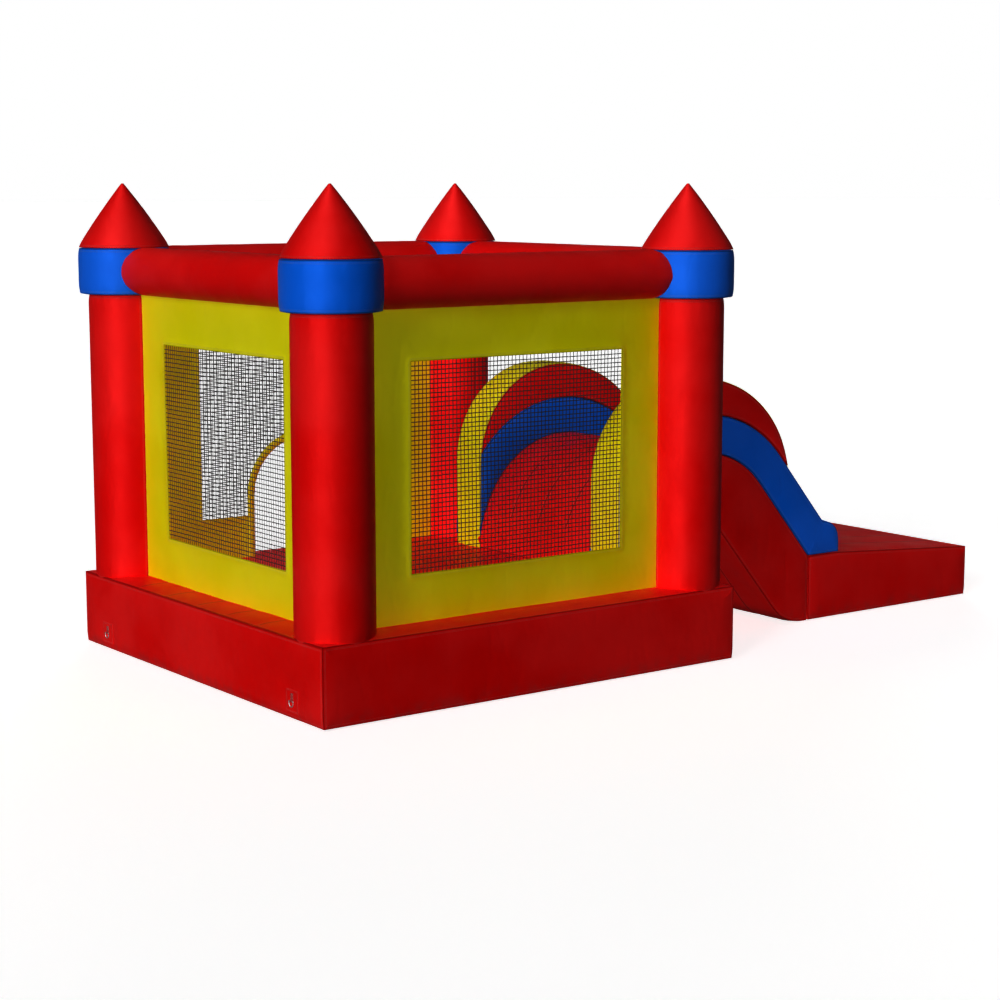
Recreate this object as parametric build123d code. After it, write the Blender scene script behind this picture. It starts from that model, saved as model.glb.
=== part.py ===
from build123d import *
import math
import os

# Inflatable castle bounce house with an over-the-edge slide.
# Frame: origin at the centre of the bounce floor's underside, +X towards the slide's exit,
# +Y towards the side with the door, +Z up. All sizes are millimetres.

# ---- driving dimensions -------------------------------------------------------------
skin = 8.0                  # wall of every air chamber, fabric, seams and welt together
web = 3.0                   # fabric webs inside the chambers
web_pitch = 390.0           # between the webs of the slide and the run-out
vent = 90.0                 # radius of the holes in the webs
fit_gap = 0.5               # between sewn pieces whose faces are curved

floor_length = 4000.0
floor_width = 3840.0
floor_height = 625.0

tower_radius = 300.0
tower_top = 2995.0
collar_radius = 376.0
collar_top = 3385.0
cone_tip = 3910.0
beam_radius = 196.0
beam_z = 3193.0

sheet = 12.0                # hemmed wall sheet
net = 4.0
window_border = 385.0       # yellow sheet left around each window, at the sides
window_low = 1005.0
window_high = 2605.0

door_width = 990.0
door_spring = 1172.0        # height where the door's sides turn into its round top
trim_width = 65.0
trim_depth = 24.0

slide_width = 2340.0
side_thickness = 390.0      # each side wall of the slide
slide_front = 1380.0        # plane of the two arches, inside the room
rim = 15.0                  # yellow edge band of the arches
rim_start = 75.0            # above the floor, where the band gets thick enough to sew
crest_x = 2330.0
crest_z = 1620.0
lane_radius = 857.0         # crest of the lane, towards the exit
lane_angle = 49.33          # slope of the lane, degrees
lane_foot_x = 3600.0
lane_foot_z = 600.0
bolster_height = 330.0      # measured square to the lane
nose_radius = 180.0
nose_x = 3800.0
nose_z = 720.0
bed_thickness = 606.0       # measured square to the lane
heel_radius = 465.0
arch_x = 2250.0
arch_top = 2270.0
arch_front_radius = 870.0
arch_back_length = 1090.0
arch_back_height = 980.0

runout_level_end = 3970.0
runout_end = 5705.0
runout_end_height = 480.0

sleeve_radius = 120.0       # bore of the air inlet, a blower's outlet goes inside
sleeve_length = 480.0
sleeve_x = -900.0
sleeve_z = 200.0

ring_bar = 4.0              # radius of the anchor rings' steel wire
ring_half_width = 29.0
ring_side = 14.0
ring_standoff = 13.0        # ring hinge line, out from the fabric face
anchor_z = 150.0
patch_size = 180.0
patch = 3.0

zip_x = 600.0
zip_z = 300.0
zip_length = 620.0
slider_travel = 540.0

# ---- derived places -----------------------------------------------------------------
half_x = floor_length / 2
half_y = floor_width / 2
tower_x = half_x - tower_radius
tower_y = half_y - tower_radius
bay_x = tower_x - tower_radius
bay_y = tower_y - tower_radius
crest_centre_z = crest_z - lane_radius
slope = math.radians(lane_angle)
lane_mid = slide_width / 2 - side_thickness / 2
corners = {
    "front_left": (-tower_x, -tower_y),
    "front_right": (tower_x, -tower_y),
    "back_left": (-tower_x, tower_y),
    "back_right": (tower_x, tower_y),
}

os.makedirs("parts", exist_ok=True)


def save(shape, node):
    export_step(shape, f"parts/{node}.step")


def group(solids):
    """Several separate solids kept together as one node."""
    return Compound(children=list(solids))


def along_y(face, width, y=0.0):
    """Extrude a face drawn in X and Z to a width centred on y."""
    return Pos(0, y, 0) * extrude(face, amount=width / 2, both=True)


def xz_face(*edges):
    """A face in the XZ plane from edges drawn with (x, z) points, the last one closed by a line."""
    loop = Wire(list(edges))
    if not loop.is_closed:
        loop = Wire([*loop.edges(), Line(loop @ 1, loop @ 0).edge()])
    return Plane.XZ * Face(loop)


def arc_point(centre, radius, tilt):
    """Point on a circle, tilt radians from straight up towards +X."""
    return (centre[0] + radius * math.sin(tilt), centre[1] + radius * math.cos(tilt))


def crest_arc(radius, start, end):
    """Arc about the lane crest's centre, from tilt start to tilt end."""
    centre = (crest_x, crest_centre_z)
    middle = arc_point(centre, radius, (start + end) / 2)
    return ThreePointArc(arc_point(centre, radius, start), middle, arc_point(centre, radius, end)).edge()


def line(*points):
    return [Line(a, b).edge() for a, b in zip(points, points[1:])]


def drum(radius, low, high):
    """Closed hollow drum standing on its end."""
    outer = Pos(0, 0, (low + high) / 2) * Cylinder(radius, high - low)
    inner = Pos(0, 0, (low + high) / 2) * Cylinder(radius - skin, high - low - 2 * skin)
    return outer - inner


def chamber(face, air, width, y=0.0):
    """Air chamber with a constant profile in XZ: skin all round, air inside."""
    return along_y(face, width, y) - along_y(air, width - 2 * skin, y)


# ---- bounce floor -------------------------------------------------------------------
def bounce_floor():
    """The room's air mattress. Its wall is drawn closed where the air inlet is sewn on."""
    outer = Pos(0, 0, floor_height / 2) * Box(floor_length, floor_width, floor_height)
    inner = Pos(0, 0, floor_height / 2) * Box(
        floor_length - 2 * skin, floor_width - 2 * skin, floor_height - 2 * skin
    )
    return outer - inner


def floor_baffles():
    """Webs that tie the floor's top to its underside, with holes that let the air through."""
    count = 7
    holes = 6
    length = floor_length - 400.0
    height = floor_height - 2 * skin
    pitch = floor_width / (count + 1)
    panel = Pos(0, 0, floor_height / 2) * Box(length, web, height)
    for i in range(holes):
        x = length * ((i + 0.5) / holes - 0.5)
        panel -= Pos(x, 0, floor_height / 2) * Rot(90, 0, 0) * Cylinder(vent, 3 * web)
    return [Pos(0, pitch * (i + 1) - half_y, 0) * panel for i in range(count)]


# ---- towers and beams ---------------------------------------------------------------
def cone():
    """Pointed roof: a closed hollow cone with a blunt tip."""
    tip = 6.0
    height = cone_tip - collar_top
    narrowing = collar_radius * skin / height
    side = math.hypot(height, collar_radius) * skin / height
    inner_base = collar_radius - narrowing - side
    inner_height = height * inner_base / collar_radius
    outer = Pos(0, 0, collar_top + height / 2) * Cone(collar_radius, tip, height)
    inner = Pos(0, 0, collar_top + skin + inner_height / 2) * Cone(inner_base, tip / 2, inner_height)
    return outer - inner


def beam(spacing, turn):
    """Hollow tube between two collars, its ends hollowed to sit against them."""
    tube = Rot(0, 90, 0) * Cylinder(beam_radius, spacing)
    core = Rot(0, 90, 0) * Cylinder(beam_radius - skin, spacing)
    for x in (-spacing / 2, spacing / 2):
        tube -= Pos(x, 0, 0) * Cylinder(collar_radius + fit_gap, 3 * beam_radius)
        core -= Pos(x, 0, 0) * Cylinder(collar_radius + fit_gap + skin, 3 * beam_radius)
    return Pos(0, 0, beam_z) * Rot(0, 0, turn) * (tube - core)


# ---- walls, nets and door -----------------------------------------------------------
def window_cut(half_bay):
    """Window opening in a wall drawn in its own XZ plane."""
    width = 2 * (half_bay - window_border)
    height = window_high - window_low
    return Pos(0, 0, window_low + height / 2) * Box(width, 4 * sheet, height)


def plain_wall(half_bay):
    height = tower_top - floor_height
    return Pos(0, 0, floor_height + height / 2) * Box(2 * (half_bay - fit_gap), sheet, height)


def door_shape(half_width, depth):
    """Round-topped doorway standing on the floor."""
    straight = door_spring - floor_height
    post = Pos(0, 0, floor_height + straight / 2) * Box(2 * half_width, depth, straight)
    top = Pos(0, 0, door_spring) * Rot(90, 0, 0) * Cylinder(half_width, depth)
    above = Pos(0, 0, door_spring + half_width) * Box(4 * half_width, 2 * depth, 2 * half_width)
    return post + (top & above)


def door_trim():
    inner = door_width / 2
    return door_shape(inner + trim_width, trim_depth) - door_shape(inner, 2 * trim_depth)


def window_net(half_bay):
    width = 2 * (half_bay - window_border)
    height = window_high - window_low
    return Pos(0, 0, window_low + height / 2) * Box(width, net, height)


# ---- slide --------------------------------------------------------------------------
def lane_edges(grow=0.0):
    """Top line of the slide: climbing face, crest, slope and foot, grown outwards evenly."""
    climb = EllipticalCenterArc(
        (crest_x, floor_height),
        crest_x - slide_front + grow,
        crest_z - floor_height + grow,
        180,
        arc_size=-90,
    ).edge()
    foot = (lane_foot_x + grow * math.tan(slope / 2), lane_foot_z + grow)
    turn = arc_point((crest_x, crest_centre_z), lane_radius + grow, slope)
    return [climb, crest_arc(lane_radius + grow, 0, slope), *line(turn, foot)]


def below_lane(grow=0.0):
    """Everything under the lane, down below the ground, with its top grown outwards evenly."""
    front = slide_front - grow
    foot = (lane_foot_x + grow * math.tan(slope / 2), lane_foot_z + grow)
    end = nose_x + 2 * nose_radius
    low = -100.0
    return xz_face(
        *lane_edges(grow),
        *line(foot, (end, foot[1]), (end, low), (front, low), (front, floor_height)),
    )


def below_bed(grow=0.0):
    """Everything under the bed: the floor, the open space under the slope, and the ground."""
    radius = lane_radius - bed_thickness + grow
    centre = (crest_x, crest_centre_z)
    slope_start = arc_point(centre, radius, slope)
    top = crest_centre_z + radius
    ground_x = slope_start[0] + (slope_start[1] - grow) / math.tan(slope)
    round_heel = heel_radius - grow
    heel_x = ground_x + round_heel * math.tan(slope / 2)
    heel_centre = (heel_x, heel_radius)
    corner = 150.0
    corner_centre = (half_x + corner, top - grow - corner)
    corner_arc = ThreePointArc(
        arc_point(corner_centre, corner + grow, -math.pi / 2),
        arc_point(corner_centre, corner + grow, -math.pi / 4),
        arc_point(corner_centre, corner + grow, 0),
    ).edge()
    heel_arc = ThreePointArc(
        arc_point(heel_centre, round_heel, math.pi + slope),
        arc_point(heel_centre, round_heel, math.pi + slope / 2),
        arc_point(heel_centre, round_heel, math.pi),
    ).edge()
    left = slide_front - 200.0
    right = lane_foot_x + 200.0
    low = -200.0
    return xz_face(
        *line((left, floor_height + grow), (half_x - grow, floor_height + grow), corner_arc @ 0),
        corner_arc,
        *line(corner_arc @ 1, (crest_x, top)),
        crest_arc(radius, 0, slope),
        *line(slope_start, heel_arc @ 0),
        heel_arc,
        *line(heel_arc @ 1, (right, grow), (right, low), (left, low), (left, floor_height + grow)),
    )


def below_bolster(grow=0.0):
    """Everything under the bolsters' top line, with the round nose, grown outwards evenly."""
    radius = lane_radius + bolster_height + grow
    round_nose = nose_radius + grow
    low = -100.0
    start = -math.asin((crest_x - slide_front) / radius)
    centre = (crest_x, crest_centre_z)
    first = arc_point(centre, radius, start)
    last = arc_point(centre, radius, slope)
    inside_nose = nose_x + 40.0
    foot = (inside_nose, last[1] - (inside_nose - last[0]) * math.tan(slope))
    band = xz_face(
        crest_arc(radius, start, slope),
        *line(last, foot, (foot[0], low), (first[0], low), first),
    )
    nose = Plane.XZ * Pos(nose_x, nose_z) * Circle(round_nose)
    chin = Plane.XZ * Pos(nose_x, (nose_z + low) / 2) * Rectangle(2 * round_nose, nose_z - low)
    return band + nose + chin


def arch_face(inset):
    """Whole outline of a side wall above the floor, inset evenly from its edge."""
    front = arch_x - arch_front_radius + inset
    radius = arch_front_radius - inset
    spring = arch_top - arch_front_radius
    middle = arc_point((arch_x, spring), radius, -math.pi / 4)
    back = EllipticalCenterArc(
        (arch_x, arch_top - arch_back_height),
        arch_back_length - inset,
        arch_back_height - inset,
        90,
        arc_size=-90,
    ).edge()
    back_x = arch_x + arch_back_length - inset
    return xz_face(
        *line((front, floor_height), (front, spring)),
        ThreePointArc((front, spring), middle, (arch_x, arch_top - inset)).edge(),
        back,
        *line((back_x, arch_top - arch_back_height), (back_x, floor_height), (front, floor_height)),
    )


def behind(x):
    """A large face that covers everything with X above x."""
    return Plane.XZ * Pos(x + 2500.0, 0) * Rectangle(5000.0, 8000.0)


def bed_block(inset, width, y=0.0):
    """The slide's bed as a solid, from the room's floor over the crest to the heel."""
    block = along_y(below_lane(-inset), width, y)
    block -= along_y(below_bed(inset), 2 * width, y)
    return block - along_y(behind(lane_foot_x - inset), 2 * width, y)


def bolster_face(inset=0.0):
    """Side view of a bolster, between the lane and its own round top line."""
    room_side = arch_face(rim + inset) + behind(arch_x)
    return (below_bolster(-inset) - below_lane(inset)) & room_side


def side_arch_face(inset=0.0):
    """Side view of the arch wall, above the bolster and inside the rim."""
    return arch_face(rim + inset) - below_bolster(inset)


def rim_face():
    """Side view of the rim: down to the foot of the lane in front, to the bolster behind."""
    band = arch_face(0.0) - arch_face(rim) - below_lane()
    feather = Plane.XZ * Pos(slide_front, floor_height) * Rectangle(100.0, 2 * rim_start)
    return (band - behind(arch_x) - feather) + ((band & behind(arch_x)) - below_bolster())


def runout_face(inset=0.0):
    """Side view of the run-out mat: level below the bolsters' noses, then falling gently."""
    front = lane_foot_x + inset
    back = runout_end - inset
    fall = (lane_foot_z - runout_end_height) / (runout_end - runout_level_end)
    return xz_face(
        *line(
            (front, inset),
            (front, lane_foot_z - inset),
            (runout_level_end, lane_foot_z - inset),
            (back, runout_end_height + fall * inset - inset),
            (back, inset),
            (front, inset),
        )
    )


def vented(block, holes, hole_radius):
    """A web inside a chamber, with holes at the given X and Z that let the air through."""
    for x, z in holes:
        block -= Pos(x, 0, z) * Rot(90, 0, 0) * Cylinder(hole_radius, 2 * slide_width)
    return block


# ---- air inlet, anchors and deflation zip ---------------------------------------------
def inlet_sleeve():
    """Open fabric tube on the back of the floor, where a blower is strapped on."""
    tube = Cylinder(sleeve_radius + skin / 2, sleeve_length) - Cylinder(sleeve_radius, sleeve_length)
    return Pos(sleeve_x, half_y + sleeve_length / 2, sleeve_z) * Rot(90, 0, 0) * tube


def inlet_strap():
    outer = sleeve_radius + skin / 2
    band = Cylinder(outer + 3.0, 50.0) - Cylinder(outer, 50.0)
    return Pos(sleeve_x, half_y + sleeve_length - 90.0, sleeve_z) * Rot(90, 0, 0) * band


def inlet_buckle():
    """Ladder buckle on top of the strap."""
    plate = Box(44.0, 62.0, 5.0)
    for x in (-11.0, 11.0):
        plate -= Pos(x, 0, 0) * Box(10.0, 52.0, 10.0)
    top = sleeve_z + sleeve_radius + skin / 2 + 3.0
    return Pos(sleeve_x, half_y + sleeve_length - 90.0, top + 2.5) * plate


def anchor_places():
    """Name, place of the hinge line on the fabric face, and outward direction along X."""
    side = floor_width / 2 - 420.0
    end = slide_width / 2 - 270.0
    return [
        ("front_left", -half_x, -side, -1),
        ("back_left", -half_x, side, -1),
        ("front_right", half_x, -side, 1),
        ("back_right", half_x, side, 1),
        ("runout_front", runout_end, -end, 1),
        ("runout_back", runout_end, end, 1),
    ]


def ring():
    """Steel D ring hanging from its straight bar, which lies along Y through the origin."""
    bar = Rot(90, 0, 0) * Cylinder(ring_bar, 2 * ring_half_width)
    shape = bar
    for y in (-ring_half_width, ring_half_width):
        shape += Pos(0, y, 0) * Sphere(ring_bar)
        shape += Pos(0, y, -ring_side / 2) * Cylinder(ring_bar, ring_side)
    bow = Pos(0, 0, -ring_side) * Rot(0, 90, 0) * Torus(ring_half_width, ring_bar)
    lower = Pos(0, 0, -ring_side - 50.0) * Box(100.0, 100.0, 100.0)
    return shape + (bow & lower)


def anchor_patch(direction):
    """Reinforcement patch with the webbing loop that holds a ring, drawn about the hinge line."""
    loop_width = 36.0
    loop_hole = ring_bar + 0.5
    loop_outer = loop_hole + 2.5
    behind_x = -direction * (ring_standoff - patch / 2)
    square = Pos(behind_x, 0, 0) * Box(patch, patch_size, patch_size)
    eye = Rot(90, 0, 0) * Cylinder(loop_outer, loop_width)
    neck_depth = ring_standoff - patch
    neck = Pos(-direction * neck_depth / 2, 0, loop_outer / 2) * Box(neck_depth, loop_width, loop_outer)
    tail = Pos(-direction * (neck_depth - 1.0), 0, 30.0) * Box(2.0, loop_width, 60.0)
    hole = Rot(90, 0, 0) * Cylinder(loop_hole, 2 * loop_width)
    return square + (eye + neck + tail - hole)


def zip_tapes():
    """The two woven tapes of the deflation zip, on the back face of the floor."""
    tape = Box(zip_length + 60.0, 2.0, 28.0)
    return [Pos(zip_x, half_y + 1.0, zip_z + z) * tape for z in (-17.0, 17.0)]


def zip_coil():
    """Closed chain of the zip, one rounded bar from end to end, with its two end stops."""
    chain = Box(zip_length, 4.0, 6.0)
    stop = Box(10.0, 6.0, 6.0)
    shape = Pos(zip_x, half_y + 2.0, zip_z) * chain
    for x in (-zip_length / 2 - 5.0, zip_length / 2 + 5.0):
        shape += Pos(zip_x + x, half_y + 3.0, zip_z) * stop
    return shape


def slider_x():
    return zip_x - zip_length / 2 + 30.0


def zip_slider():
    """Slider that straddles the chain, with the bridge that holds its pull."""
    plate = Pos(0, 5.8, 0) * Box(30.0, 2.6, 18.0)
    for z in (-5.0, 5.0):
        plate += Pos(0, 3.6, z) * Box(30.0, 2.4, 2.5)
    bar = Pos(0, 14.0, 0) * Rot(0, 90, 0) * Cylinder(1.5, 24.0)
    posts = [Pos(x, 9.6, 0) * Box(3.0, 8.8, 3.0) for x in (-12.0, 12.0)]
    shape = plate + bar
    for post in posts:
        shape += post
    return Pos(slider_x(), half_y, zip_z) * shape


def zip_pull():
    """Pull tab hanging from the slider's bridge."""
    tab = Pos(0, 14.0, -20.0) * Box(14.0, 2.4, 44.0)
    eye = Pos(0, 14.0, 0) * Rot(0, 90, 0) * Cylinder(3.6, 14.0)
    hole = Pos(0, 14.0, 0) * Rot(0, 90, 0) * Cylinder(1.9, 40.0)
    grip = Pos(0, 14.0, -34.0) * Rot(90, 0, 0) * Cylinder(3.0, 20.0)
    return Pos(slider_x(), half_y, zip_z) * (tab + eye - hole - grip)


# ---- every node -----------------------------------------------------------------------
save(bounce_floor(), "bounce_floor")
save(group(floor_baffles()), "floor_baffles")

for name, (x, y) in corners.items():
    save(Pos(x, y, 0) * drum(tower_radius, floor_height, tower_top), f"tower_{name}")
    save(Pos(x, y, 0) * drum(collar_radius, tower_top, collar_top), f"collar_{name}")
    save(Pos(x, y, 0) * cone(), f"cone_{name}")

for name, y in (("front", -tower_y), ("back", tower_y)):
    save(Pos(0, y, 0) * beam(2 * tower_x, 0), f"beam_{name}")
for name, x in (("left", -tower_x), ("right", tower_x)):
    save(Pos(x, 0, 0) * beam(2 * tower_y, 90), f"beam_{name}")

turned = Pos(-tower_x, 0, 0) * Rot(0, 0, 90)
save(Pos(0, -tower_y, 0) * (plain_wall(bay_x) - window_cut(bay_x)), "wall_front")
save(Pos(0, -tower_y, 0) * window_net(bay_x), "net_front")
save(turned * (plain_wall(bay_y) - window_cut(bay_y)), "wall_left")
save(turned * window_net(bay_y), "net_left")
doorway = door_shape(door_width / 2 + trim_width, 4 * trim_depth)
save(Pos(0, tower_y, 0) * (plain_wall(bay_x) - window_cut(bay_x) - doorway), "wall_back")
save(Pos(0, tower_y, 0) * (window_net(bay_x) - doorway), "net_back")
save(Pos(0, tower_y, 0) * door_trim(), "door_trim")

save(bed_block(0.0, slide_width) - bed_block(skin, slide_width - 2 * skin), "slide_bed")
for name, y in (("front", -lane_mid), ("back", lane_mid)):
    save(chamber(bolster_face(), bolster_face(skin), side_thickness, y), f"slide_bolster_{name}")
    save(chamber(side_arch_face(), side_arch_face(skin), side_thickness, y), f"slide_arch_{name}")
    save(along_y(rim_face(), side_thickness, y), f"slide_rim_{name}")
save(chamber(runout_face(), runout_face(skin), slide_width), "runout_mat")

web_places = [i * web_pitch for i in (-2, -1, 0, 1, 2)]
bed_vents = [(1900.0, 1000.0), (2400.0, 1320.0), (2900.0, 1050.0), (3300.0, 600.0)]
save(group(vented(bed_block(skin, web, y), bed_vents, vent) for y in web_places), "slide_bed_baffles")
mat_vents = [(3900.0, 300.0), (4500.0, 280.0), (5100.0, 260.0)]
mat_webs = [vented(along_y(runout_face(skin), web, y), mat_vents, vent) for y in web_places]
save(group(mat_webs), "runout_baffles")

save(inlet_sleeve(), "air_inlet_sleeve")
save(inlet_strap(), "inlet_strap")
save(inlet_buckle(), "inlet_buckle")
patches = []
for name, x, y, direction in anchor_places():
    hinge = Pos(x + direction * ring_standoff, y, anchor_z)
    patches.append(hinge * anchor_patch(direction))
    save(hinge * ring(), f"anchor_ring_{name}")
save(group(patches), "anchor_patches")
save(group(zip_tapes()), "zip_tapes")
save(zip_coil(), "zip_coil")
save(zip_slider(), "zip_slider")
save(zip_pull(), "zip_pull")
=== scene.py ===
import math

import bmesh
import bpy
import numpy as np
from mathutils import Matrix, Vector
from mathutils.geometry import delaunay_2d_cdt


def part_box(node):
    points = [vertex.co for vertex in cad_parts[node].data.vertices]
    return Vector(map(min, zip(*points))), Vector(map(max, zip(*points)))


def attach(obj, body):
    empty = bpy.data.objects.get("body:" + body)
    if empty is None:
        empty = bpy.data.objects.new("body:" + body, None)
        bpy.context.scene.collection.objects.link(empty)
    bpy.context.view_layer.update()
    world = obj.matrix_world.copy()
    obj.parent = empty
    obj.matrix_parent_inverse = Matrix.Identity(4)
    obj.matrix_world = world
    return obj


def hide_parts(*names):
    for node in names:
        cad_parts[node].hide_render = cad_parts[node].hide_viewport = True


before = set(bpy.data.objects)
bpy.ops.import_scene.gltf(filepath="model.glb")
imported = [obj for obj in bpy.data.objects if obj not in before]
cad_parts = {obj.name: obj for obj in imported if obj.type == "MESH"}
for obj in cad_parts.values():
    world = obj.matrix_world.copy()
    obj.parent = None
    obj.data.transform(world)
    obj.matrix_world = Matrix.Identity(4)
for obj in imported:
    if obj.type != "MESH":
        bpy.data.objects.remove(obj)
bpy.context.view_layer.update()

HOUSE = "house"
CORNERS = ("front_left", "front_right", "back_left", "back_right")
RINGS = sorted(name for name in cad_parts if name.startswith("anchor_ring"))
TURN = 2 * math.pi
PHASES = 6.28                       # random phases are drawn from 0 to this
CORNER_TURN = math.radians(20)      # an outline turns by more than this at a seam
STEP = 0.03                         # usual distance between points on an air chamber
ROWS = (0.0, 0.006, 0.014, 0.026, 0.042, 0.064, 0.092, 0.13, 0.18, 0.25)    # rows beside a seam
FAR = 9.0                           # stands for no seam nearby
WELD = 4e-5                         # points closer than this are one
# its away value of 0.05 also keeps such cloth clear of the painted seam shade
PLAIN = (0.0, 0.05)                 # the seam value of cloth that is clear of the stitches
RIPPLE = 0.004                      # usual height of the puckers beside a seam
rng = np.random.default_rng(11)


# ---- materials ------------------------------------------------------------------------
SEAM_ROWS = (0.016, 0.024)          # distances of the two rows of stitching from a seam
STITCH_PITCH, STITCH_SHARE = 0.0085, 0.66
THREAD_HALF = 0.0011                # half the width of a row of thread
SCRIM_PITCH = 0.0024                # pitch of the woven carrier inside the coated fabric
MIX_A, MIX_B, MIX_RESULT = 6, 7, 2  # the colour sockets of a mix node


class Shader:
    """Short names for building one node material."""

    def __init__(self, name, **sockets):
        self.material = bpy.data.materials.new(name)
        self.material.use_nodes = True
        self.tree = self.material.node_tree
        self.main = self.tree.nodes["Principled BSDF"]
        self.place = self.node("ShaderNodeTexCoord").outputs["Object"]
        self.set(**sockets)

    def feed(self, socket, value):
        """Sets a socket to a number or a colour, or links an output to it."""
        if isinstance(value, bpy.types.NodeSocket):
            self.tree.links.new(value, socket)
        elif socket.type == "RGBA":
            socket.default_value = (*value, 1.0)
        else:
            socket.default_value = value

    def set(self, **sockets):
        """Feeds sockets of the main shader, whose names have _ for each space, and returns the material."""
        for name, value in sockets.items():
            self.feed(self.main.inputs[name.replace("_", " ")], value)
        return self.material

    def node(self, kind, inputs=(), **settings):
        """New node with its settings, and with the sockets fed that inputs names."""
        made = self.tree.nodes.new(kind)
        for name, value in settings.items():
            setattr(made, name, value)
        for name, value in dict(inputs).items():
            self.feed(made.inputs[name], value)
        return made

    def maths(self, operation, *values, clamp=False):
        made = self.node("ShaderNodeMath", enumerate(values), operation=operation, use_clamp=clamp)
        return made.outputs[0]

    def ramp(self, value, low, high, out_low=0.0, out_high=1.0):
        """Smooth change from out_low to out_high as the value goes from low to high."""
        inputs = {"Value": value, "From Min": low, "From Max": high, "To Min": out_low, "To Max": out_high}
        return self.node("ShaderNodeMapRange", inputs, interpolation_type="SMOOTHSTEP").outputs["Result"]

    def noise(self, scale, detail=3.0, stretch=None):
        place = self.place
        if stretch:
            place = self.node("ShaderNodeMapping", {"Vector": place, "Scale": stretch}).outputs["Vector"]
        inputs = {"Vector": place, "Scale": scale, "Detail": detail}
        return self.node("ShaderNodeTexNoise", inputs).outputs["Fac"]

    def threads(self, pitch, operation, distortion=0.0):
        """Threads at a pitch along all three axes, put together by a maths operation."""
        total = None
        for axis in "XYZ":
            inputs = {"Vector": self.place, "Scale": math.pi / (10 * pitch), "Distortion": distortion}
            wave = self.node("ShaderNodeTexWave", inputs, bands_direction=axis).outputs["Fac"]
            total = wave if total is None else self.maths(operation, total, wave)
        return total

    def tint(self, factor, colour_a, colour_b):
        """Mix of two colours by a factor."""
        inputs = {"Factor": factor, MIX_A: colour_a, MIX_B: colour_b}
        return self.node("ShaderNodeMix", inputs, data_type="RGBA").outputs[MIX_RESULT]

    def bump(self, height, strength, distance, after=None):
        inputs = {"Strength": strength, "Distance": distance, "Height": height}
        if after is not None:
            inputs["Normal"] = after
        return self.node("ShaderNodeBump", inputs).outputs["Normal"]


def darker(colour, share):
    return tuple(c * share for c in colour)


def lighter(colour, share):
    return tuple(c + (1.0 - c) * share for c in colour)


def vinyl(name, colour):
    """Coated fabric: faint scrim, soft creases, stitched seams with painted shade in their creases."""
    s = Shader(name, IOR=1.6, Specular_IOR_Level=0.8, Specular_Tint=lighter(colour, 0.05))
    seam = s.node("ShaderNodeUVMap", uv_map="seam").outputs["UV"]
    split = s.node("ShaderNodeSeparateXYZ", {"Vector": seam})
    along, away = split.outputs["X"], split.outputs["Y"]
    height = s.node("ShaderNodeSeparateXYZ", {"Vector": s.place}).outputs["Z"]

    base = s.tint(s.ramp(s.noise(1.3, 4.0), 0.35, 0.65), darker(colour, 0.93), lighter(colour, 0.015))
    # painted shade: the cloth is darkened within 12 mm of a seam, standing in for the shade in the seam's
    # crease
    base = s.tint(s.ramp(away, 0.0, 0.012), darker(colour, 0.45), base)
    dust = s.maths("MULTIPLY", s.ramp(height, 0.0, 0.16, 0.42, 0.0), s.ramp(s.noise(9.0, 6.0), 0.42, 0.66))
    base = s.tint(dust, base, tuple(0.55 * c + 0.07 for c in colour))
    rows = [s.maths("LESS_THAN", s.maths("ABSOLUTE", s.maths("SUBTRACT", away, row)), THREAD_HALF)
            for row in SEAM_ROWS]
    stitch = s.maths("FRACT", s.maths("MULTIPLY", along, 1 / STITCH_PITCH))
    dash = s.maths("LESS_THAN", stitch, STITCH_SHARE)
    thread = s.maths("MULTIPLY", s.maths("ADD", *rows, clamp=True), dash)
    base = s.tint(thread, base, lighter(darker(colour, 0.8), 0.18))

    creases = s.maths("ABSOLUTE", s.maths("SUBTRACT", s.noise(2.6, stretch=(1.0, 1.0, 0.45)), 0.5))
    normal = None
    for relief, strength, distance in (
        (s.noise(7.0, 5.0, stretch=(1.0, 1.0, 0.6)), 0.28, 0.012),
        (s.ramp(creases, 0.0, 0.05), 0.16, 0.004),
        (s.threads(SCRIM_PITCH, "ADD"), 0.30, 0.0004),
        (s.noise(420.0, 2.0), 0.10, 0.0005),
        (thread, 0.8, 0.0014),
    ):
        normal = s.bump(relief, strength, distance, after=normal)
    return s.set(Base_Color=base, Roughness=s.ramp(s.noise(3.1, 6.0), 0.3, 0.7, 0.45, 0.56), Normal=normal)


def cloth(name, colour, pitch, sheen=0.2):
    """Woven fabric or webbing with crossing threads of the given pitch."""
    s = Shader(name, Roughness=0.85, Sheen_Weight=sheen, Sheen_Roughness=0.4)
    base = s.tint(s.noise(0.4 / pitch), darker(colour, 0.7), lighter(colour, 0.05))
    return s.set(Base_Color=base, Normal=s.bump(s.threads(pitch, "MULTIPLY", 0.6), 0.5, pitch * 0.3))


def metal(name, colour, roughness):
    """Plated steel with fine drawn lines and dull spots."""
    s = Shader(name, Metallic=0.65)
    base = s.tint(s.ramp(s.noise(25.0), 0.45, 0.75), colour, darker(colour, 0.72))
    rough = s.ramp(s.noise(60.0, 5.0), 0.3, 0.75, roughness * 0.8, roughness * 1.6)
    lines = s.noise(260.0, 2.0, stretch=(1.0, 0.08, 1.0))
    return s.set(Base_Color=base, Roughness=rough, Normal=s.bump(lines, 0.15, 0.0004))


def plastic(name, colour):
    """Moulded plastic with a fine grain."""
    s = Shader(name, Base_Color=colour)
    rough = s.ramp(s.noise(30.0, 4.0), 0.3, 0.7, 0.38, 0.55)
    return s.set(Roughness=rough, Normal=s.bump(s.noise(1400.0, 2.0), 0.2, 0.0003))


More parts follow.
